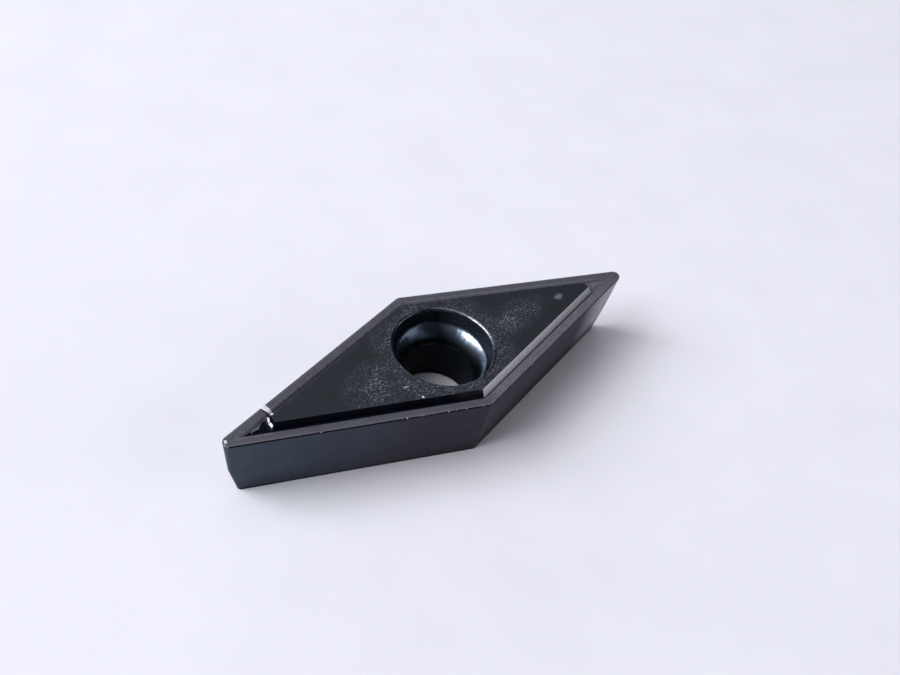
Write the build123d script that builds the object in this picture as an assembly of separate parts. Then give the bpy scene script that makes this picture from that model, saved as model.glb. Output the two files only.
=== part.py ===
from build123d import *
from math import cos, radians, sin, tan
import os

# A 35 degree rhombic turning insert, pressed and sintered from carbide in one piece.
# One screw through its middle clamps it, and it cuts with its two sharp noses.
#
# Frame: the origin is the middle of the bottom face, on the axis of the screw hole.
# X runs along the long diagonal, from nose to nose, Y along the short one, and Z up.
# All sizes are in millimetres and degrees.

# Outline and flanks
inscribed_circle = 9.525        # diameter that touches the four cutting edges
edge_height = 4.7625            # cutting edges above the bottom face
corner_angle = 35.0             # between the two edges that meet at a nose
flank_relief = 5.0              # lean of the flanks under the cutting edges
nose_radius = 0.40              # at the cutting edge
heel_radius = 0.22              # of the nose on the lower part of the flank
heel_height = 2.10              # where the nose stops getting sharper
blunt_radius = 0.40             # of the two wide corners, all the way down
edge_hone = 0.05                # rounding of the cutting edge itself

# Chip breaker, in section across a cutting edge: land, groove, wall and plateau
land_width = 0.40               # flat land beside the cutting edge
shoulder_radius = 0.25          # from the land down into the groove
groove_slope = 45.0
groove_depth = 0.135            # groove floor below the cutting edge
foot_radius = 0.10              # from the slope, through the lowest line, up into the wall
wall_slope = 62.0
plateau_height = 0.30           # plateau above the cutting edge
brow_radius = 0.05              # rounding of the plateau's edge

# Nose pocket, between each nose and the plateau's blunt end
nose_pocket_length = 4.04       # sharp corner of the outline to the plateau's blunt end
end_slope = 70.0
end_foot_radius = 0.40          # from the pocket's floor up into the blunt end
ridge_length = 0.70             # low ridge that splits the pocket lengthwise
ridge_width = 0.38
ridge_height = 0.07
ridge_gap = 0.72                # ridge to the plateau's blunt end
ridge_crest = 0.04              # width along the top

# Screw hole: straight bore, curved seat, steep throat and rounded rim
bore_radius = 2.20
bore_chamfer = 0.10             # at the bottom face
seat_width = 0.77               # seat, measured along a radius
seat_turn = 50.0                # from the bore's wall to the seat's upper edge
throat_height = 0.90            # seat's upper edge to the plateau
throat_flare = 0.15             # growth of the throat's radius over its height
rim_radius = 0.18               # rounding where the throat meets the plateau

tool_overrun = 1.0              # how far a cutting solid runs past the insert

half_corner = corner_angle / 2
half_length = inscribed_circle / 2 / sin(radians(half_corner))
plateau_top = edge_height + plateau_height
blunt_end = half_length - nose_pocket_length
section_end = 2 * half_length


def outline(height, acute_radius):
    """Section of the block at a height: a rhombus with its four corners rounded."""
    drop = edge_height - height
    side_distance = inscribed_circle / 2 - drop * tan(radians(flank_relief))
    long_half = side_distance / sin(radians(half_corner))
    short_half = side_distance / cos(radians(half_corner))
    rhombus = make_face(
        Polyline((long_half, 0), (0, short_half), (-long_half, 0), (0, -short_half), close=True)
    )
    noses = rhombus.vertices().filter_by(lambda corner: abs(corner.X) > abs(corner.Y))
    rhombus = fillet(noses, acute_radius)
    blunts = rhombus.vertices().filter_by(lambda corner: abs(corner.X) < acute_radius)
    rhombus = fillet(blunts, blunt_radius)
    return Pos(0, 0, height) * rhombus


def block():
    """Flanks and noses, up to the level of the cutting edges, with the edges honed."""
    heel = loft([outline(0, heel_radius), outline(heel_height, heel_radius)], ruled=True)
    upper = loft(
        [outline(heel_height, heel_radius), outline(edge_height, nose_radius)], ruled=True
    )
    solid = heel + upper
    cutting_edges = solid.edges().group_by(Axis.Z)[-1]
    return fillet(cutting_edges, edge_hone)


def groove_section():
    """What the groove takes away, from the land's inner edge to far inside the insert."""
    bends = (shoulder_radius + foot_radius) * (1 - cos(radians(groove_slope)))
    slope_length = (groove_depth - bends) / sin(radians(groove_slope))
    shoulder = JernArc((land_width, 0), (1, 0), shoulder_radius, -groove_slope)
    slope = PolarLine(shoulder @ 1, slope_length, direction=shoulder % 1)
    foot = JernArc(slope @ 1, slope % 1, foot_radius, groove_slope)
    rest = Polyline(
        foot @ 1,
        (section_end, -groove_depth),
        (section_end, tool_overrun),
        (land_width, tool_overrun),
        (land_width, 0),
    )
    return make_face([shoulder, slope, foot, rest]), (foot @ 1).X


def plateau_section(foot_start, foot_curve, slope):
    """A wall of the plateau, from its foot on the groove floor to far inside the insert."""
    rise = groove_depth + plateau_height
    bends = (foot_curve + brow_radius) * (1 - cos(radians(slope)))
    wall_length = (rise - bends) / sin(radians(slope))
    foot = JernArc((foot_start, -groove_depth), (1, 0), foot_curve, slope)
    wall = PolarLine(foot @ 1, wall_length, direction=foot % 1)
    brow = JernArc(wall @ 1, wall % 1, brow_radius, -slope)
    rest = Polyline(
        brow @ 1,
        (section_end, plateau_height),
        (section_end, -tool_overrun),
        (foot_start, -tool_overrun),
        (foot_start, -groove_depth),
    )
    return make_face([foot, wall, brow, rest]), (brow @ 1).X


def along_edge(section, facing, distance):
    """Run a section, drawn inwards and up, along a line that faces a given angle."""
    outwards = Vector(cos(radians(facing)), sin(radians(facing)), 0)
    run = Vector(-outwards.Y, outwards.X, 0)
    start = outwards * distance + Vector(0, 0, edge_height)
    return extrude(Plane(start, x_dir=-outwards, z_dir=run) * section, section_end, both=True)


def mitred(section):
    """Run a section along all four cutting edges and mitre it on the diagonals."""
    facings = [sign * (90 - half_corner) + turn for turn in (0, 180) for sign in (1, -1)]
    solid = along_edge(section, facings[0], inscribed_circle / 2)
    for facing in facings[1:]:
        solid = solid & along_edge(section, facing, inscribed_circle / 2)
    return solid


def plateau(foot_start):
    """Raised middle of the insert, mitred like the outline and blunt at both noses."""
    side, _ = plateau_section(foot_start, foot_radius, wall_slope)
    end, brow_end = plateau_section(0, end_foot_radius, end_slope)
    solid = mitred(side)
    for facing in (0, 180):
        solid = solid & along_edge(end, facing, blunt_end + brow_end)
    return solid


def pocket_ridge():
    """Low ridge with sloping sides and ends, on the floor of the nose pocket on the +X side."""
    middle = blunt_end + ridge_gap + ridge_length / 2
    floor = edge_height - groove_depth
    slope_run = (ridge_width - ridge_crest) / 2
    foot = Pos(middle, 0, floor) * Rectangle(ridge_length, ridge_width)
    crest = Pos(middle, 0, floor + ridge_height) * Rectangle(
        ridge_length - 2 * slope_run, ridge_crest
    )
    return loft([foot, crest], ruled=True)


def screw_hole():
    """The hole as a solid: chamfer, bore, curved seat, throat and rounded rim."""
    seat_radius = seat_width / (1 - cos(radians(seat_turn)))
    seat_top = plateau_top - throat_height
    seat_foot = seat_top - seat_radius * sin(radians(seat_turn))
    throat_radius = bore_radius + seat_width
    mouth_radius = throat_radius + throat_flare
    below = Polyline(
        (0, -tool_overrun),
        (bore_radius + bore_chamfer + tool_overrun, -tool_overrun),
        (bore_radius, bore_chamfer),
        (bore_radius, seat_foot),
    )
    seat = JernArc((bore_radius, seat_foot), (0, 1), seat_radius, -seat_turn)
    above = Polyline(
        seat @ 1,
        (mouth_radius, plateau_top),
        (mouth_radius + tool_overrun, plateau_top),
        (mouth_radius + tool_overrun, plateau_top + tool_overrun),
        (0, plateau_top + tool_overrun),
        (0, -tool_overrun),
    )
    section = make_face([below, seat, above])
    mouth = section.vertices().sort_by_distance((mouth_radius, plateau_top))[0]
    section = fillet(mouth, rim_radius)
    return revolve(Plane.XZ * section, Axis.Z)


def insert():
    """The whole insert."""
    groove, floor_start = groove_section()
    solid = block() - mitred(groove) + plateau(floor_start)
    ridge = pocket_ridge()
    solid = solid + ridge + ridge.rotate(Axis.Z, 180)
    return solid - screw_hole()


os.makedirs("parts", exist_ok=True)
export_step(insert(), "parts/insert.step")
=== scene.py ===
import math

import bmesh
import bpy
from bpy.props import FloatProperty, FloatVectorProperty, IntProperty, PointerProperty
from mathutils import Euler, Matrix, Vector


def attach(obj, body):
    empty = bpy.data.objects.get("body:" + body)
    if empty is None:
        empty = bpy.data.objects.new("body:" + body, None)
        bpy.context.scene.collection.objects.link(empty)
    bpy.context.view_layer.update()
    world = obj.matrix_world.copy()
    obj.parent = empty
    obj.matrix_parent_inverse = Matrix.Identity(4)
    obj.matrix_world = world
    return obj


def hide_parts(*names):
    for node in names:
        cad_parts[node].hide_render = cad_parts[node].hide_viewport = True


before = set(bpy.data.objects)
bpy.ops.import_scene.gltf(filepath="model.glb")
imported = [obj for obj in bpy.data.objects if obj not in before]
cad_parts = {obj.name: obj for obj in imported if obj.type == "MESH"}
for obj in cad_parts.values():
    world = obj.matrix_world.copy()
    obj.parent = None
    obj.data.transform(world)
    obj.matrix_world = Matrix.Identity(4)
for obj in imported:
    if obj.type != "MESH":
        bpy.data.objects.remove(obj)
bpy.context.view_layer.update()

bl_info = {
    "name": "Carbide turning insert",
    "version": (1, 0, 0),
    "blender": (4, 5, 0),
    "location": "View3D > Sidebar > Insert",
    "description": "Coated, worn and sintered finish for a 35 degree turning insert",
    "category": "Object",
}

MM = 0.001

# The insert's own sizes in millimetres, as the frame holds them
EDGE_HEIGHT = 4.7625
PLATEAU_HEIGHT = 5.0625
INSCRIBED_RADIUS = 4.7625
HALF_CORNER = math.radians(17.5)
CORNER_RADIUS = 0.40            # of the noses and the wide corners, at the cutting edge
BLUNT_END = 11.75               # from the middle to the plateau's end at each nose
SEAT_TOP = 4.1625
RIM_RADIUS = 3.31
RIM_HEIGHT = 4.93               # where the throat starts to round over to the plateau
CHAMFER_TOP = 0.5               # safely above the chamfer at the foot of the bore
NEAR = 0.004                    # how far from a level a face may be and still be at it

# Distances inwards from the cutting edge, seen from above
HONED_WIDTH = 0.03
SHOULDER_END = 0.60             # the land has rounded over
GROOVE_START = 0.64             # top of the groove's slope
WALL_FOOT = 0.70
POCKET_SIDE = 0.75              # side of the nose pocket

EDGE_BAND = 0.12                # strip of the flank under the cutting edge, painted near black as shade
CHIP_FOCUS = (-1.6, -4.4, EDGE_HEIGHT)

# How upright a face is, as the part of its normal along the way it is measured
INWARDS = 0.12                  # leans towards the hole's axis, as throat, seat and rim do
STRAIGHT = 0.995                # a wall of the straight bore
LEVEL = 0.9                     # a floor or a land
DOWN = -0.5                     # the bottom face

LAMP_DISTANCE = 0.8             # metres

NOISE, RANGE, MATH = "ShaderNodeTexNoise", "ShaderNodeMapRange", "ShaderNodeMath"
VECTOR, SPLIT = "ShaderNodeVectorMath", "ShaderNodeSeparateXYZ"
MIX, BUMP = "ShaderNodeMix", "ShaderNodeBump"


def linear(code):
    """An sRGB hex value as a linear colour with alpha."""
    parts = [int(code[i:i + 2], 16) / 255 for i in (1, 3, 5)]
    return (*[p / 12.92 if p <= 0.04045 else ((p + 0.055) / 1.055) ** 2.4 for p in parts], 1.0)


# ---------------------------------------------------------------- materials


def add(tree, kind, sockets=None, out=0, **settings):
    """Add a node with its settings and links, and return one output, or several for a slice.

    Sockets are given by name or number, each a value or a link.
    """
    made = tree.nodes.new(kind)
    for key, value in settings.items():
        setattr(made, key, value)
    for key, value in (sockets or {}).items():
        if isinstance(value, bpy.types.NodeSocket):
            tree.links.new(value, made.inputs[key])
        else:
            made.inputs[key].default_value = value
    return made.outputs[out] if len(made.outputs) else None


def make_material(recipe, look):
    """A material named after its recipe, which returns what goes into the shader.

    Each recipe is given its node tree, the object's coordinates in millimetres, and the
    colours and grain sizes that a user may set.
    """
    material = bpy.data.materials.new(recipe.__name__)
    material.use_nodes = True
    tree = material.node_tree
    tree.nodes.clear()
    where = add(tree, "ShaderNodeTexCoord", out="Object")
    mm = add(tree, "ShaderNodeMapping", {"Vector": where, "Scale": [1 / MM] * 3})
    surface = add(tree, "ShaderNodeBsdfPrincipled", recipe(tree, mm, look))
    add(tree, "ShaderNodeOutputMaterial", {"Surface": surface})
    return material


def patch(tree, mm, centre, half, turn):
    """An elliptic patch seen from above: 1 in its middle, fading to 0 at its rim.

    Its centre and half axes are in mm, and its turn in degrees.
    """
    moved = add(tree, VECTOR, {0: mm, 1: (*centre, PLATEAU_HEIGHT)}, operation="SUBTRACT")
    sockets = {"Vector": moved, "Angle": -math.radians(turn)}
    turned = add(tree, "ShaderNodeVectorRotate", sockets, rotation_type="Z_AXIS")
    sockets = {0: turned, 1: (1 / half[0], 1 / half[1], 1.0)}
    scaled = add(tree, VECTOR, sockets, operation="MULTIPLY")
    reach = add(tree, VECTOR, {0: scaled}, out="Value", operation="LENGTH")
    return add(tree, RANGE, {0: reach, 1: 1.0, 2: 0.1})


def edge_distance(tree, mm):
    """Distance in mm inwards from the nearest cutting edge, seen from above."""
    folded = add(tree, VECTOR, {0: mm}, operation="ABSOLUTE")
    across = (math.sin(HALF_CORNER), math.cos(HALF_CORNER), 0)
    reach = add(tree, VECTOR, {0: folded, 1: across}, out="Value", operation="DOT_PRODUCT")
    return add(tree, MATH, {0: INSCRIBED_RADIUS, 1: reach}, operation="SUBTRACT")


def side_of_hole(tree, mm, degrees, low, high):
    """A mask for one side of the hole: 0 below a distance along a direction, 1 above another."""
    way = (math.cos(math.radians(degrees)), math.sin(math.radians(degrees)), 0)
    reach = add(tree, VECTOR, {0: mm, 1: way}, out="Value", operation="DOT_PRODUCT")
    return add(tree, RANGE, {0: reach, 1: low, 2: high})


def vapour_coated_land(tree, mm, look):
    """Land beside the cutting edge: ground, then vapour coated with a nitride.

    The thin coat gives a dull purple grey with faint clouds and a fine grit. It is rubbed
    a little lighter along the cutting edge and is lighter on the front right, and a lighter
    line along the shoulder, strongest on the back sides, is a painted highlight.
    """
    clouds = add(tree, NOISE, {"Vector": mm, "Scale": 1 / 1.1, "Detail": 3.0})
    clouds = add(tree, RANGE, {0: clouds, 1: 0.40, 2: 0.60})
    grit = add(tree, NOISE, {"Vector": mm, "Scale": MM / look.coat_grit})
    inward = edge_distance(tree, mm)
    beside_edge = add(tree, RANGE, {0: inward, 1: 0.20, 2: 0.08, 4: 0.35})
    x, y = add(tree, SPLIT, {0: mm}, out=slice(2))
    # Painted highlight: a lighter line along the shoulder, strongest on the back sides
    painted_shoulder_highlight = add(tree, RANGE, {0: inward, 1: 0.38, 2: 0.50})
    highlit_back_sides = add(tree, RANGE, {0: y, 1: -1.0, 2: 1.0, 3: 0.2, 4: 0.6})
    painted_shoulder_highlight = add(tree, MATH, {0: painted_shoulder_highlight, 1: highlit_back_sides}, operation="MULTIPLY")
    right = add(tree, RANGE, {0: x, 1: 0.0, 2: 1.0})
    front = add(tree, RANGE, {0: y, 1: 0.0, 2: -1.0, 4: 0.55})
    lighter_front_right = add(tree, MATH, {0: right, 1: front}, operation="MULTIPLY")
    rubbed_and_sheen = add(tree, MATH, {0: beside_edge, 1: painted_shoulder_highlight}, operation="MAXIMUM")
    rubbed_and_sheen = add(tree, MATH, {0: rubbed_and_sheen, 1: lighter_front_right}, operation="MAXIMUM")
    grains = add(tree, RANGE, {0: grit, 1: 0.3, 2: 0.5})
    rubbed_and_sheen = add(tree, MATH, {0: rubbed_and_sheen, 1: grains}, operation="MULTIPLY")
    colour = add(
        tree, MIX, {0: clouds, 6: look.land_colour, 7: linear("#43474F")}, 2, data_type="RGBA"
    )
    specks = add(tree, RANGE, {0: grit, 1: 0.40, 2: 0.70, 4: 0.45})
    colour = add(tree, MIX, {0: specks, 6: colour, 7: linear("#64626C")}, 2, data_type="RGBA")
    colour = add(tree, MIX, {0: rubbed_and_sheen, 6: colour, 7: linear("#71707A")}, 2, data_type="RGBA")
    relief = add(tree, BUMP, {"Height": grit, "Distance": 0.006 * MM, "Strength": 1.0})
    return {"Base Color": colour, "Roughness": 0.40, "IOR": 1.45, "Normal": relief}


def coated_groove_floor(tree, mm, look):
    """Floor of the groove: as pressed, then coated. A little darker than the ground land."""
    grit = add(tree, NOISE, {"Vector": mm, "Scale": MM / look.coat_grit})
    specks = add(tree, RANGE, {0: grit, 1: 0.40, 2: 0.70})
    sockets = {0: specks, 6: linear("#34343C"), 7: linear("#42424A")}
    colour = add(tree, MIX, sockets, 2, data_type="RGBA")
    relief = add(tree, BUMP, {"Height": grit, "Distance": 0.005 * MM, "Strength": 1.0})
    return {"Base Color": colour, "Roughness": 0.42, "IOR": 1.45, "Normal": relief}


def cutting_edge_painted_dark(tree, mm, look):
    """Cutting edge, brushed round after coating: a fine near black line, painted shade where the
    rounded edge mirrors the dark room.
    """
    grit = add(tree, NOISE, {"Vector": mm, "Scale": MM / look.coat_grit})
    sockets = {0: grit, 6: linear("#050508"), 7: linear("#0C0C10")}
    colour = add(tree, MIX, sockets, 2, data_type="RGBA")
    relief = add(tree, BUMP, {"Height": grit, "Distance": 0.003 * MM, "Strength": 1.0})
    return {"Base Color": colour, "Roughness": 0.55, "IOR": 1.1, "Normal": relief}


def pressed_coated_chip_breaker(tree, mm, look):
    """Groove, walls and nose pocket: as pressed by a polished punch, then coated.

    Smooth and blue black, so it stays near black where it mirrors a dark room.
    """
    clouds = add(tree, NOISE, {"Vector": mm, "Scale": 1 / 0.5})
    clouds = add(tree, RANGE, {0: clouds, 1: 0.35, 2: 0.65})
    grit = add(tree, NOISE, {"Vector": mm, "Scale": MM / look.coat_grit})
    sockets = {0: clouds, 6: look.breaker_colour, 7: linear("#05070F")}
    colour = add(tree, MIX, sockets, 2, data_type="RGBA")
    relief = add(tree, BUMP, {"Height": grit, "Distance": 0.003 * MM, "Strength": 1.0})
    return {"Base Color": colour, "Roughness": 0.25, "IOR": 1.17, "Normal": relief}


def worn_wall_with_painted_reflection(tree, mm, look):
    """Walls facing front right, rubbed by running chips so bare carbide shows, grainy and silver
    grey, and painted brighter as a painted reflection of the lit paper on the right.

    It is bright beside the hole and duller towards the nose.
    """
    x = add(tree, SPLIT, {0: mm})
    grit = add(tree, NOISE, {"Vector": mm, "Scale": MM / look.bare_grain, "Detail": 3.0})
    wear = add(tree, RANGE, {0: x, 1: 13.0, 2: 1.0, 3: 0.45, 4: 1.0})
    grains = add(tree, RANGE, {0: grit, 1: 0.3, 2: 0.7})
    sockets = {0: grains, 6: linear("#BAB8BC"), 7: linear("#DEDDE0")}
    colour = add(tree, MIX, sockets, 2, data_type="RGBA")
    colour = add(tree, MIX, {0: wear, 6: linear("#7A7A82"), 7: colour}, 2, data_type="RGBA")
    relief = add(tree, BUMP, {"Height": grit, "Distance": 0.006 * MM, "Strength": 1.0})
    return {"Base Color": colour, "Metallic": 0.2, "Roughness": 0.42, "Normal": relief}


def sintered_coated_plateau(tree, mm, look):
    """Plateau: as sintered, then coated. Slate grey, rougher than the land.

    Rubbed patches beside the hole and a worn ring at its rim show single grains, and there
    is one small blemish near a nose.
    """
    sockets = {"Vector": mm, "Scale": MM / look.sinter_grain, "Detail": 3.0, "Roughness": 0.6}
    grit = add(tree, NOISE, sockets)
    drift = add(tree, NOISE, {"Vector": mm, "Scale": 1 / 0.9})
    clouds = add(tree, NOISE, {"Vector": mm, "Scale": 1 / 1.8})
    clouds = add(tree, RANGE, {0: clouds, 1: 0.35, 2: 0.65})
    rubbed_and_sheen = patch(tree, mm, (-4.8, -0.6), (3.7, 2.0), 14)
    for centre, half, turn in (((-3.3, -2.4), (1.6, 0.8), -35), ((5.5, -0.1), (3.0, 1.4), 10)):
        more = patch(tree, mm, centre, half, turn)
        rubbed_and_sheen = add(tree, MATH, {0: rubbed_and_sheen, 1: more}, operation="MAXIMUM")
    worn_and_sheen = add(tree, RANGE, {0: drift, 1: 0.28, 2: 0.62, 3: 0.1, 4: 1.0})
    rubbed_and_sheen = add(tree, MATH, {0: rubbed_and_sheen, 1: worn_and_sheen}, operation="MULTIPLY")
    flat = add(tree, VECTOR, {0: mm, 1: (1, 1, 0)}, operation="MULTIPLY")
    radius = add(tree, VECTOR, {0: flat}, out="Value", operation="LENGTH")
    ring = add(tree, RANGE, {0: radius, 1: 4.8, 2: 3.3, 4: 0.6})
    worn_and_sheen = add(tree, RANGE, {0: drift, 1: 0.30, 2: 0.60, 3: 0.25, 4: 1.0})
    ring = add(tree, MATH, {0: ring, 1: worn_and_sheen}, operation="MULTIPLY")
    rubbed_and_sheen = add(tree, MATH, {0: rubbed_and_sheen, 1: ring}, operation="MAXIMUM")
    grains = add(tree, RANGE, {0: grit, 1: 0.50, 2: 0.64})
    rubbed_and_sheen = add(tree, MATH, {0: rubbed_and_sheen, 1: grains}, operation="MULTIPLY")
    blemish = patch(tree, mm, (9.36, 0.0), (0.46, 0.28), 11)
    grains = add(tree, RANGE, {0: grit, 1: 0.35, 2: 0.60})
    blemish = add(tree, MATH, {0: blemish, 1: grains}, operation="MULTIPLY")
    sockets = {0: clouds, 6: look.plateau_colour, 7: linear("#1C1F28")}
    colour = add(tree, MIX, sockets, 2, data_type="RGBA")
    colour = add(tree, MIX, {0: rubbed_and_sheen, 6: colour, 7: linear("#868994")}, 2, data_type="RGBA")
    colour = add(tree, MIX, {0: blemish, 6: colour, 7: linear("#8A8C94")}, 2, data_type="RGBA")
    relief = add(tree, BUMP, {"Height": grit, "Distance": 0.016 * MM, "Strength": 1.0})
    return {"Base Color": colour, "Roughness": 0.45, "IOR": 1.42, "Normal": relief}


def ground_coated_flank(tree, mm, look):
    """Flanks: ground flat, then coated. Smooth, blue black with purple clouds.

    The coat's tint turns to teal towards one nose. Near the other nose its front is painted
    lighter, a painted reflection of the lit paper, and its bottom edge is painted dark as shade.
    """
    drift = add(tree, NOISE, {"Vector": mm, "Scale": 1 / 1.6, "Detail": 3.0})
    grit = add(tree, NOISE, {"Vector": mm, "Scale": MM / look.coat_grit})
    x, y, z = add(tree, SPLIT, {0: mm}, out=slice(3))
    tint = add(tree, RANGE, {0: x, 1: -3.5, 2: -13.0, 3: 0.1, 4: 1.0})
    for value, low, high, least in ((drift, 0.35, 0.60, 0.75), (z, 0.2, 1.6, 0.45)):
        share = add(tree, RANGE, {0: value, 1: low, 2: high, 3: least, 4: 1.0})
        tint = add(tree, MATH, {0: tint, 1: share}, operation="MULTIPLY")
    specks = add(tree, RANGE, {0: grit, 1: 0.45, 2: 0.70, 4: 0.35})
    # Painted reflection: the front near the right nose is painted lighter, for the lit paper it
    # mirrors
    rubbed_and_sheen = add(tree, RANGE, {0: x, 1: 10.4, 2: 13.2})
    for value, low, high, least in ((grit, 0.25, 0.50, 0.6), (y, 0.35, -0.35, 0.0)):
        share = add(tree, RANGE, {0: value, 1: low, 2: high, 3: least, 4: 1.0})
        rubbed_and_sheen = add(tree, MATH, {0: rubbed_and_sheen, 1: share}, operation="MULTIPLY")
    # Painted shade: dark along the bottom edge, where the flank meets the floor
    painted_foot_shade = add(tree, RANGE, {0: z, 1: 0.21, 2: 0.15, 4: 0.9})
    sockets = {0: tint, 6: look.flank_colour, 7: look.tint_colour}
    colour = add(tree, MIX, sockets, 2, data_type="RGBA")
    for share, code in ((specks, "#4A4452"), (rubbed_and_sheen, "#A19EA8"), (painted_foot_shade, "#0B0912")):
        colour = add(tree, MIX, {0: share, 6: colour, 7: linear(code)}, 2, data_type="RGBA")
    relief = add(tree, BUMP, {"Height": grit, "Distance": 0.003 * MM, "Strength": 1.0})
    return {"Base Color": colour, "Roughness": 0.38, "IOR": 1.13, "Normal": relief}


def glossy_coated_seat(tree, mm, look):
    """Screw seat and throat: pressed by a polished core rod, then coated. Glossy blue black.

    It is painted darker on its way down towards the bore, as painted shade in the hole, and
    the side of the hole towards the right nose is painted far brighter, as a painted highlight.
    """
    z = add(tree, SPLIT, {0: mm}, out=2)
    clouds = add(tree, NOISE, {"Vector": mm, "Scale": 1 / 1.5})
    clouds = add(tree, RANGE, {0: clouds, 1: 0.35, 2: 0.65})
    # Painted highlight: the side of the hole towards the right nose is far brighter
    painted_highlight_side = side_of_hole(tree, mm, 5, 1.7, 2.7)
    # Painted shade: darker on the way down into the hole
    painted_depth_shade = add(tree, RANGE, {0: z, 1: 3.3, 2: 2.3})
    sockets = {0: clouds, 6: look.seat_colour, 7: linear("#4F5760")}
    colour = add(tree, MIX, sockets, 2, data_type="RGBA")
    for share, code in ((painted_highlight_side, "#B2C4D8"), (painted_depth_shade, "#0A0F14")):
        colour = add(tree, MIX, {0: share, 6: colour, 7: linear(code)}, 2, data_type="RGBA")
    return {"Base Color": colour, "Metallic": 1.0, "Roughness": 0.27}


def hole_rim_with_painted_highlight(tree, mm, look):
    """Rounded rim of the hole, painted brighter on the side towards the right nose, as a painted
    highlight.
    """
    grit = add(tree, NOISE, {"Vector": mm, "Scale": MM / look.bare_grain, "Detail": 3.0})
    colours = []
    for low, dark, light in ((0.40, "#23272D", "#5A5F68"), (0.35, "#565C66", "#A3A9B4")):
        grains = add(tree, RANGE, {0: grit, 1: low, 2: 0.65})
        sockets = {0: grains, 6: linear(dark), 7: linear(light)}
        colours.append(add(tree, MIX, sockets, 2, data_type="RGBA"))
    # Painted highlight: brighter on the side of the hole towards the right nose
    worn_and_sheen = side_of_hole(tree, mm, 18, 1.9, 2.7)
    colour = add(tree, MIX, {0: worn_and_sheen, 6: colours[0], 7: colours[1]}, 2, data_type="RGBA")
    relief = add(tree, BUMP, {"Height": grit, "Distance": 0.003 * MM, "Strength": 1.0})
    return {"Base Color": colour, "Metallic": 1.0, "Roughness": 0.30, "Normal": relief}


def bore_with_painted_shade(tree, mm, look):
    """Bore below the seat: a dull near black, painted shade down in the deep hole."""
    grit = add(tree, NOISE, {"Vector": mm, "Scale": 1 / 0.15})
    sockets = {0: grit, 6: linear("#060B11"), 7: linear("#0B1118")}
    colour = add(tree, MIX, sockets, 2, data_type="RGBA")
    relief = add(tree, BUMP, {"Height": grit, "Distance": 0.006 * MM, "Strength": 1.0})
    return {"Base Color": colour, "Roughness": 0.50, "IOR": 1.2, "Normal": relief}


def bare_cemented_carbide(tree, mm, look):
    """Where the coat is scraped off or chipped: bare cemented carbide, bright and grainy. Also
    used for two painted glints at the foot of the left blunt end.
    """
    grit = add(tree, NOISE, {"Vector": mm, "Scale": 1 / 0.08})
    grains = add(tree, RANGE, {0: grit, 1: 0.3, 2: 0.7})
    sockets = {0: grains, 6: linear("#C9CBD2"), 7: look.bare_colour}
    colour = add(tree, MIX, sockets, 2, data_type="RGBA")
    relief = add(tree, BUMP, {"Height": grit, "Distance": 0.004 * MM, "Strength": 1.0})
    return {"Base Color": colour, "Metallic": 0.2, "Roughness": 0.55, "Normal": relief}


def matt_paper(tree, mm, look):
    """Plain paper to lie on: pressed pulp, matt, with clouds that hardly show."""
    clouds = add(tree, NOISE, {"Vector": mm, "Scale": 1 / 6.0, "Detail": 3.0})
    clouds = add(tree, RANGE, {0: clouds, 1: 0.3, 2: 0.7})
    sockets = {0: clouds, 6: look.paper_colour, 7: linear("#EFF0F5")}
    colour = add(tree, MIX, sockets, 2, data_type="RGBA")
    return {"Base Color": colour, "Roughness": 0.9}


FINISHES = [
    vapour_coated_land, coated_groove_floor, cutting_edge_painted_dark, pressed_coated_chip_breaker,
    worn_wall_with_painted_reflection, sintered_coated_plateau, ground_coated_flank,
    glossy_coated_seat, hole_rim_with_painted_highlight, bore_with_painted_shade, bare_cemented_carbide,
]
LAND, GROOVE, PAINTED_DARK_EDGE, BREAKER, WORN_SHEEN_WALL, PLATEAU, FLANK, SEAT, RIM, BORE, BARE = range(len(FINISHES))

# Scrapes through the coat, each as its finish and the corners of its outline in mm, seen
# from above, with painted light among them: a dark line beside the longest, painted shadow,
# and two bright strips at the foot of the left blunt end, painted glints. Every outline is
# convex.
SCRAPES_AND_PAINTED_LIGHT = [
    (BARE, [
        (-11.95, 1.25), (-11.58, 1.30), (-11.44, 0.70), (-11.42, 0.58), (-11.53, 0.52),
        (-11.72, 0.80),
    ]),
    # Painted shadow: a dark line beside the longest scrape
    (PAINTED_DARK_EDGE, [(-12.00, 1.22), (-11.95, 1.25), (-11.68, 0.45), (-11.73, 0.42)]),
    # Painted glints: two bright strips at the foot of the left blunt end
    (BARE, [(-11.90, 0.56), (-11.82, 0.52), (-11.94, 0.14), (-12.04, 0.15)]),
    (BARE, [(-12.05, 0.08), (-11.94, 0.06), (-11.93, -0.22), (-12.04, -0.26)]),
    (BARE, [(-14.83, -0.03), (-14.68, -0.05), (-14.60, 0.12), (-14.74, 0.21)]),
    (BARE, [(-3.53, -2.66), (-3.41, -2.66), (-3.41, -2.78), (-3.53, -2.78)]),
    (BARE, [(-4.10, -1.56), (-3.75, -1.63), (-3.73, -1.67), (-4.06, -1.61)]),
]


# ---------------------------------------------------------------- the insert


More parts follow.
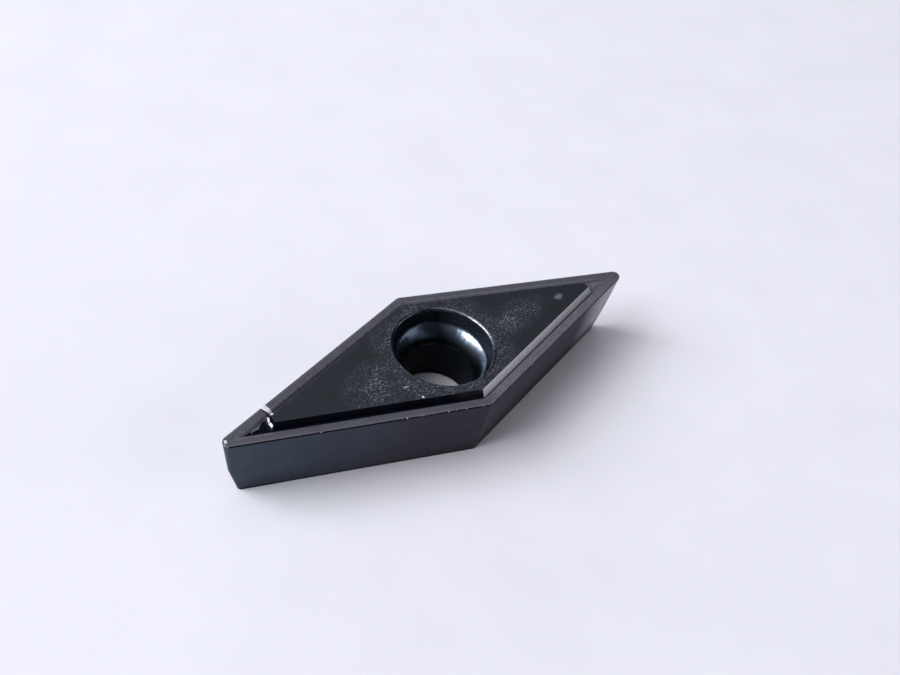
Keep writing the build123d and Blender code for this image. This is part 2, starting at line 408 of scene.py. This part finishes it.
def zone(centre, normal):
    """Which finish a face has, from where it is in millimetres and which way it faces."""
    x, y, z = centre
    radius = math.hypot(x, y)
    facing_axis = -(normal.x * x + normal.y * y) / max(radius, 0.001)
    if radius < RIM_RADIUS and (z < SEAT_TOP + NEAR or facing_axis > INWARDS):
        if facing_axis > STRAIGHT or z < CHAMFER_TOP:
            return BORE
        return RIM if z > RIM_HEIGHT else SEAT

    reach = abs(x) * math.sin(HALF_CORNER) + abs(y) * math.cos(HALF_CORNER)
    inward = INSCRIBED_RADIUS - reach
    on_top = z > PLATEAU_HEIGHT - NEAR
    level = normal.z > LEVEL
    # The right nose pocket and the blunt wall behind it are as light as the land
    if x > BLUNT_END - 0.3 and inward > GROOVE_START and not on_top:
        if level or normal.x > abs(normal.y):
            return LAND
    if normal.z < DOWN or (z < EDGE_HEIGHT - EDGE_BAND and inward < SHOULDER_END):
        return FLANK
    # The honed edge and the flank's top strip are painted near black as shade
    if inward < HONED_WIDTH:
        return PAINTED_DARK_EDGE
    if on_top:
        return PLATEAU
    if inward < SHOULDER_END and z > EDGE_HEIGHT - 0.1:
        return LAND
    # Walls facing front right get the bright worn wall, partly a painted reflection; the rest
    # are black
    if inward > WALL_FOOT and not level:
        front_right = normal.y < 0 < normal.x < -normal.y
        return WORN_SHEEN_WALL if front_right else BREAKER
    # The left nose pocket is painted black as shade, and the back of its ridge gets the lighter
    # land as a painted highlight
    if x < -BLUNT_END - 0.5 and inward > POCKET_SIDE and normal.y > 0.1:
        return LAND
    # Groove floors on the front left are painted black as shade, as are those in the left pocket
    in_left_pocket = x < 0.3 - BLUNT_END and inward > POCKET_SIDE
    front_left = x < 0 and y < 0.02
    return BREAKER if (front_left or in_left_pocket) and inward > GROOVE_START else GROOVE


def cut_out(skin, finish, outline, low, high):
    """Cut an outline, seen from above, into the skin between two heights, and mark its faces."""
    middle = Vector((sum(x for x, y in outline), sum(y for x, y in outline))) / len(outline)
    sides = list(zip(outline, outline[1:] + outline[:1]))
    for (x0, y0), (x1, y1) in sides:
        near = [
            f for f in skin.faces
            if f.normal.z > 0.02 and low < f.calc_center_median().z < high
        ]
        parts = {e for f in near for e in f.edges} | {v for f in near for v in f.verts}
        across = Vector((y1 - y0, x0 - x1, 0))
        bmesh.ops.bisect_plane(
            skin, geom=near + list(parts), plane_co=(x0, y0, 0), plane_no=across, dist=0.0005
        )
    for face in skin.faces:
        spot = face.calc_center_median()
        if low < spot.z < high and face.normal.z > 0.02 and within(spot, sides, middle):
            face.material_index = finish


def within(spot, sides, middle):
    """Whether a spot is on the same side of every side of the outline as its middle."""
    for (x0, y0), (x1, y1) in sides:
        turn = (x1 - x0) * (spot.y - y0) - (y1 - y0) * (spot.x - x0)
        wanted = (x1 - x0) * (middle.y - y0) - (y1 - y0) * (middle.x - x0)
        if turn * wanted < 0:
            return False
    return True


def merged_copy():
    """A welded copy of the CAD block in millimetres, split where its finish changes."""
    skin = bmesh.new()
    skin.from_mesh(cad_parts["insert"].data)
    bmesh.ops.scale(skin, vec=(1 / MM, 1 / MM, 1 / MM), verts=skin.verts)
    bmesh.ops.remove_doubles(skin, verts=skin.verts, dist=0.0005)
    skin.normal_update()
    everything = skin.verts[:] + skin.edges[:] + skin.faces[:]
    bmesh.ops.bisect_plane(
        skin, geom=everything, plane_co=(0, 0, EDGE_HEIGHT - EDGE_BAND), plane_no=(0, 0, 1)
    )
    return skin


def edge_path():
    """The cutting edge as a closed line of points in mm: four straights and four arcs."""
    points = []
    steps = 8
    for corner in range(4):
        nose = corner % 2 == 0
        half = HALF_CORNER if nose else math.pi / 2 - HALF_CORNER
        facing = corner * math.pi / 2
        reach = (INSCRIBED_RADIUS - CORNER_RADIUS) / math.sin(half)
        sweep = math.pi / 2 - half
        for step in range(steps + 1):
            angle = facing - sweep + 2 * sweep * step / steps
            points.append((
                reach * math.cos(facing) + CORNER_RADIUS * math.cos(angle),
                reach * math.sin(facing) + CORNER_RADIUS * math.sin(angle),
                EDGE_HEIGHT,
            ))
    return points


def chip_tree():
    """Stones strewn along a path, thickest near a focus, to bite chips out of an edge."""
    tree = bpy.data.node_groups.new("edge_chips", "GeometryNodeTree")
    face = tree.interface
    for name, kind in (
        ("Path", "Geometry"), ("Count", "Int"), ("Size", "Float"), ("Focus", "Vector"),
        ("Spread", "Float"), ("Seed", "Int"), ("Finish", "Material"),
    ):
        face.new_socket(name, in_out="INPUT", socket_type="NodeSocket" + kind)
    face.new_socket("Stones", in_out="OUTPUT", socket_type="NodeSocketGeometry")
    path, count, size, focus, spread, seed, finish = add(tree, "NodeGroupInput", out=slice(7))
    curve = add(tree, "GeometryNodeMeshToCurve", {0: path})
    dots = add(tree, "GeometryNodeCurveToPoints", {"Curve": curve, "Count": count})

    where = add(tree, "GeometryNodeInputPosition")
    away = add(tree, VECTOR, {0: where, 1: focus}, out="Value", operation="DISTANCE")
    near = add(tree, MATH, {0: away, 1: spread}, operation="DIVIDE")
    share = add(tree, RANGE, {0: near, 1: 0.0, 2: 1.0, 3: 0.55, 4: 0.02})
    # A random value takes its range from 2 and 3 for a number, 0 and 1 for a vector
    dice = "FunctionNodeRandomValue"
    lucky = add(tree, dice, {2: 0.0, 3: 1.0, 8: seed}, out=1, data_type="FLOAT")
    chosen = add(tree, "FunctionNodeCompare", {0: lucky, 1: share}, operation="LESS_THAN")

    stone = add(tree, "GeometryNodeMeshIcoSphere", {"Radius": size, "Subdivisions": 2})
    sockets = {0: (0, 0, 0), 1: (6.28, 6.28, 6.28), 8: seed}
    turn = add(tree, dice, sockets, data_type="FLOAT_VECTOR")
    sockets = {0: (0.4, 0.4, 0.3), 1: (1.5, 1.5, 0.9), 8: seed}
    grow = add(tree, dice, sockets, data_type="FLOAT_VECTOR")
    strewn = add(tree, "GeometryNodeInstanceOnPoints", {
        "Points": dots, "Selection": chosen, "Instance": stone, "Rotation": turn, "Scale": grow,
    })
    real = add(tree, "GeometryNodeRealizeInstances", {0: strewn})
    done = add(tree, "GeometryNodeSetMaterial", {0: real, "Material": finish})
    add(tree, "NodeGroupOutput", {0: done})
    return tree


def plain_mesh(thing, name):
    """The evaluated object as a plain mesh."""
    graph = bpy.context.evaluated_depsgraph_get()
    graph.update()
    mesh = bpy.data.meshes.new_from_object(thing.evaluated_get(graph))
    mesh.name = name
    return mesh


def chip_stones(wear, bare):
    """The stones that bite the chips, as a helper object in millimetres."""
    points = edge_path()
    path = bpy.data.meshes.new("edge_path")
    path.from_pydata(points, [(i, (i + 1) % len(points)) for i in range(len(points))], [])
    helper = bpy.data.objects.new("chip_stones", path)
    bpy.context.scene.collection.objects.link(helper)
    nodes = helper.modifiers.new("edge chips", "NODES")
    nodes.node_group = chip_tree()
    values = {
        "Count": wear.chip_count, "Size": wear.chip_size / MM, "Focus": CHIP_FOCUS,
        "Spread": wear.chip_spread / MM, "Seed": wear.chip_seed, "Finish": bare,
    }
    for item in nodes.node_group.interface.items_tree:
        if item.name in values:
            nodes[item.identifier] = values[item.name]
    helper.data = plain_mesh(helper, "chip_stones")
    helper.modifiers.clear()
    return helper


class OBJECT_OT_carbide_block(bpy.types.Operator):
    """Make the coated carbide block, with its finishes, scrapes, painted glints and painted
    shadow line, and edge chips
    """

    bl_idname = "object.carbide_block"
    bl_label = "Coated carbide block"

    def execute(self, context):
        look = context.scene.insert_look
        skin = merged_copy()
        for face in skin.faces:
            face.material_index = zone(face.calc_center_median(), face.normal)
            face.smooth = True
        for finish, outline in SCRAPES_AND_PAINTED_LIGHT:
            cut_out(skin, finish, outline, EDGE_HEIGHT - 0.2, PLATEAU_HEIGHT + 0.1)
        mesh = bpy.data.meshes.new("carbide_block")
        skin.to_mesh(mesh)
        skin.free()
        for recipe in FINISHES:
            mesh.materials.append(make_material(recipe, look))
        mesh.set_sharp_from_angle(angle=math.radians(25))
        block = bpy.data.objects.new("carbide_block", mesh)
        context.scene.collection.objects.link(block)

        stones = chip_stones(context.scene.insert_wear, mesh.materials[BARE])
        bite = block.modifiers.new("edge chips", "BOOLEAN")
        bite.operation = "DIFFERENCE"
        bite.solver = "EXACT"
        bite.object = stones
        bite.material_mode = "TRANSFER"
        even = block.modifiers.new("even shading", "WEIGHTED_NORMAL")
        even.keep_sharp = True
        even.weight = 100
        block.data = plain_mesh(block, "carbide_block")
        block.modifiers.clear()
        if len(block.data.polygons) < len(mesh.polygons):
            raise RuntimeError("The chips took away more than the edge")
        block.data.transform(Matrix.Scale(MM, 4))
        bpy.data.objects.remove(stones)

        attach(block, "root")
        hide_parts("insert")
        return {"FINISHED"}


# ---------------------------------------------------------------- the stage


def soft_box(name, compass, rise, size, watts):
    """A rectangular soft box that faces the insert, placed by two angles in degrees."""
    turn, rise = math.radians(compass), math.radians(rise)
    towards = Vector((
        math.cos(turn) * math.cos(rise), math.sin(turn) * math.cos(rise), math.sin(rise),
    ))
    light = bpy.data.lights.new(name, "AREA")
    light.shape = "RECTANGLE"
    light.size, light.size_y = size
    light.energy = watts
    light.color = (0.945, 0.94, 1.0)
    lamp = bpy.data.objects.new(name, light)
    lamp.location = towards * LAMP_DISTANCE
    lamp.rotation_euler = towards.to_track_quat("Z", "Y").to_euler()
    bpy.context.scene.collection.objects.link(lamp)


class SCENE_OT_insert_stage(bpy.types.Operator):
    """Make the paper floor, the lamps and the camera"""

    bl_idname = "scene.insert_stage"
    bl_label = "Floor, lamps and camera"

    def execute(self, context):
        stage = context.scene.insert_stage
        scene = context.scene

        mesh = bpy.data.meshes.new("paper_floor")
        half = stage.floor_size / 2
        corners = [(-half, -half, 0), (half, -half, 0), (half, half, 0), (-half, half, 0)]
        mesh.from_pydata(corners, [], [(0, 1, 2, 3)])
        mesh.materials.append(make_material(matt_paper, stage))
        floor = bpy.data.objects.new("paper_floor", mesh)
        scene.collection.objects.link(floor)

        soft_box("window", 154, 41, (0.68, 0.54), stage.window_watts)
        soft_box("ceiling", 60, 76, (0.7, 0.7), stage.ceiling_watts)
        soft_box("back_wall", 85, 12, (1.3, 0.30), stage.wall_watts)
        soft_box("right_wall", -38, 14, (0.7, 0.35), stage.wall_watts)

        world = bpy.data.worlds.new("dim_room")
        world.use_nodes = True
        room = world.node_tree.nodes["Background"]
        room.inputs["Color"].default_value = (0.9, 0.95, 1.0, 1.0)
        room.inputs["Strength"].default_value = 0.09
        scene.world = world

        view = bpy.data.cameras.new("camera")
        view.lens = 42.72
        view.sensor_width = 36.0
        view.clip_start = 0.001
        view.clip_end = 100.0
        camera = bpy.data.objects.new("camera", view)
        camera.location = Vector((-32.0236, -31.7048, 51.9763)) * MM
        camera.rotation_euler = Euler([math.radians(a) for a in (43.6071, -9.0716, -36.2086)])
        scene.collection.objects.link(camera)
        scene.camera = camera
        scene.view_settings.view_transform = "Standard"
        return {"FINISHED"}


# ---------------------------------------------------------------- the add-on


def colour_of(name, code, description):
    """A colour that a user may set, from an sRGB hex value."""
    return FloatVectorProperty(
        name=name, description=description, default=linear(code), size=4, subtype="COLOR",
        min=0.0, max=1.0,
    )


def length_of(name, millimetres, description):
    """A small length that a user may set."""
    return FloatProperty(
        name=name, description=description, default=millimetres * MM, unit="LENGTH",
        min=0.001 * MM, precision=5,
    )


def power_of(name, watts, description):
    """A lamp's power that a user may set."""
    return FloatProperty(
        name=name, description=description, default=watts, unit="POWER", min=0.0
    )


class InsertLook(bpy.types.PropertyGroup):
    """Colours and grain sizes. Real grit and grains are under 0.02 mm: they are drawn as
    wide as they need to be to show.
    """

    land_colour: colour_of("Land", "#45434B", "Coat on the land beside the cutting edge")
    breaker_colour: colour_of("Chip breaker", "#020510", "Coat in the groove and on its walls")
    plateau_colour: colour_of("Plateau", "#181C22", "Coat on the plateau")
    flank_colour: colour_of("Flanks", "#312D38", "Coat on the flanks")
    tint_colour: colour_of("Flank tint", "#41505C", "What the flanks turn to at one nose")
    seat_colour: colour_of("Screw seat", "#4B5259", "Coat on the screw seat and the throat")
    bare_colour: colour_of("Bare carbide", "#F2F3F8", "Light grains in chips and scrapes")
    coat_grit: length_of("Coat grit", 0.10, "Width of the grit on coated surfaces")
    sinter_grain: length_of("Sintered grain", 0.12, "Width of the grains on the plateau")
    bare_grain: length_of("Rubbed grain", 0.12, "Width of the grains where the coat is rubbed")


class InsertWear(bpy.types.PropertyGroup):
    """Chips along the cutting edge."""

    chip_count: IntProperty(
        name="Chip spots", description="Spots along the cutting edge that may be chipped",
        default=400, min=1,
    )
    chip_spread: length_of("Chip spread", 4.0, "How far from the front corner chips are thick")
    chip_size: length_of("Chip size", 0.045, "Radius of a chip of middle size")
    chip_seed: IntProperty(
        name="Chip seed", description="Another number gives other chips", default=7
    )


class InsertStage(bpy.types.PropertyGroup):
    """The paper floor and the lamps."""

    floor_size: FloatProperty(
        name="Floor size", description="Side of the paper floor", default=4.0, unit="LENGTH"
    )
    paper_colour: colour_of("Paper", "#EBECF1", "Darkest shade of the paper")
    window_watts: power_of("Window power", 8.4, "Main soft box")
    ceiling_watts: power_of("Ceiling power", 1.2, "Wide soft box overhead")
    wall_watts: power_of("Wall power", 1.7, "Each low soft box, behind and to the right")


class VIEW3D_PT_insert(bpy.types.Panel):
    """Everything that makes the insert"""

    bl_label = "Carbide insert"
    bl_idname = "VIEW3D_PT_insert"
    bl_space_type = "VIEW_3D"
    bl_region_type = "UI"
    bl_category = "Insert"

    def draw(self, context):
        scene = context.scene
        for settings in (scene.insert_look, scene.insert_wear, scene.insert_stage):
            for name in settings.__annotations__:
                self.layout.prop(settings, name)
        for action in STEPS:
            self.layout.operator(action.bl_idname)


STEPS = [OBJECT_OT_carbide_block, SCENE_OT_insert_stage]
CLASSES = [InsertLook, InsertWear, InsertStage, *STEPS, VIEW3D_PT_insert]


def register():
    """Make the properties, operators and panel known to Blender."""
    for each in CLASSES:
        bpy.utils.register_class(each)
    bpy.types.Scene.insert_look = PointerProperty(type=InsertLook)
    bpy.types.Scene.insert_wear = PointerProperty(type=InsertWear)
    bpy.types.Scene.insert_stage = PointerProperty(type=InsertStage)


def unregister():
    """Take them away again."""
    del bpy.types.Scene.insert_stage
    del bpy.types.Scene.insert_wear
    del bpy.types.Scene.insert_look
    for each in reversed(CLASSES):
        bpy.utils.unregister_class(each)


def main():
    """Build everything."""
    register()
    bpy.ops.object.carbide_block()
    bpy.ops.scene.insert_stage()


if __name__ == "__main__":
    main()
